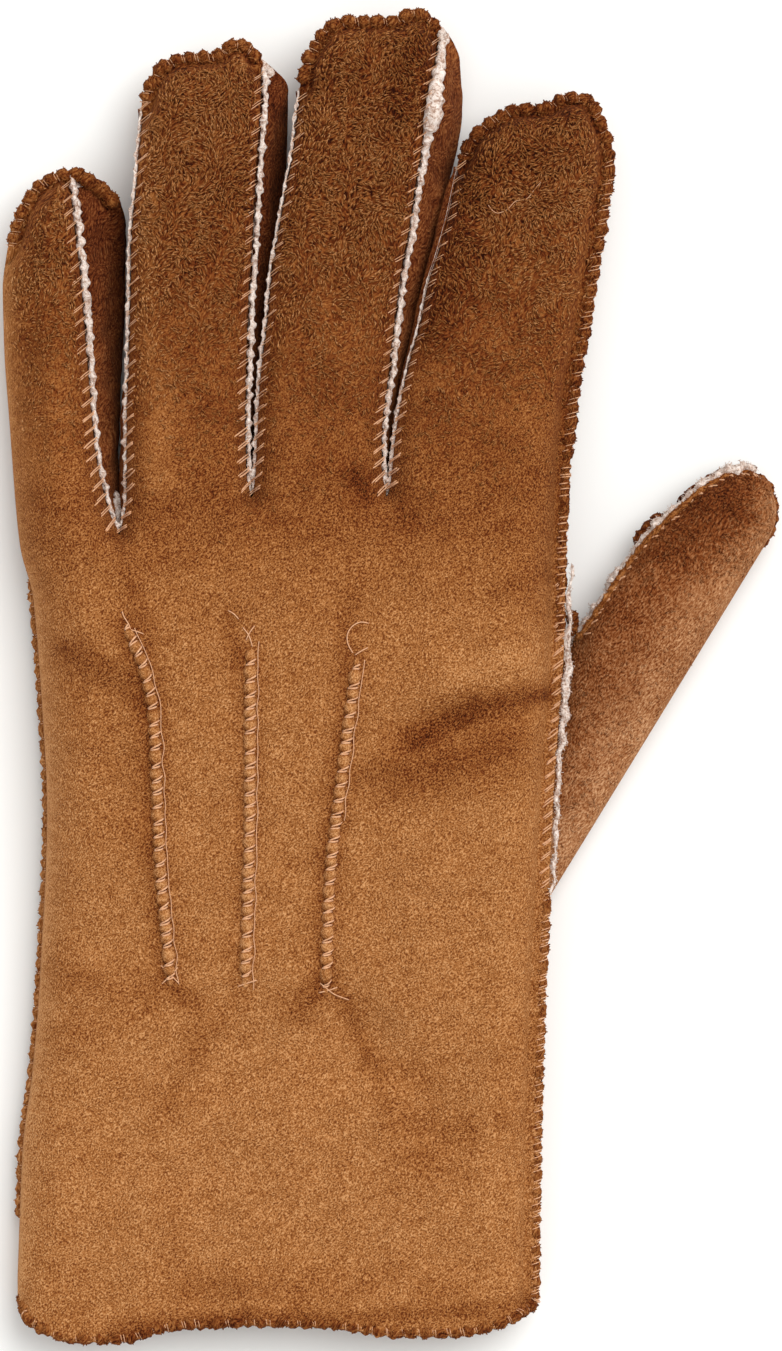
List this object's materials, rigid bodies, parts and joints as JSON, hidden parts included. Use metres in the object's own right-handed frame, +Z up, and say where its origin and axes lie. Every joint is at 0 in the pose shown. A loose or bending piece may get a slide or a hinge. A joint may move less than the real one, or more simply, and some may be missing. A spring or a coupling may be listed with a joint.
{
  "type": "faux leather glove",
  "caption": "Suede-faced, fleece-lined glove for a left hand, lying on its palm, with long straight cuff and outside seams.",
  "frame": {"origin": "centre of the bounding box on the surface that the palm rests on", "axes": "+X towards the thumb, +Y towards the fingertips, +Z up, out of the back of the hand"},
  "size_m": [0.1474, 0.2531, 0.0253],
  "materials": {
    "tan_suede": "matte napped faux suede",
    "brown_suede": "matte napped faux suede, darker",
    "cream_fleece": "curly cream fleece",
    "tan_thread": "matte sewing thread"
  },
  "bodies": {
    "root": {"back_panel": "tan_suede", "palm_panel": "tan_suede", "thumb": "tan_suede", "fourchette_little_ring": "brown_suede", "fourchette_ring_middle": "brown_suede", "fourchette_middle_index": "brown_suede"}
  },
  "joints": []
}
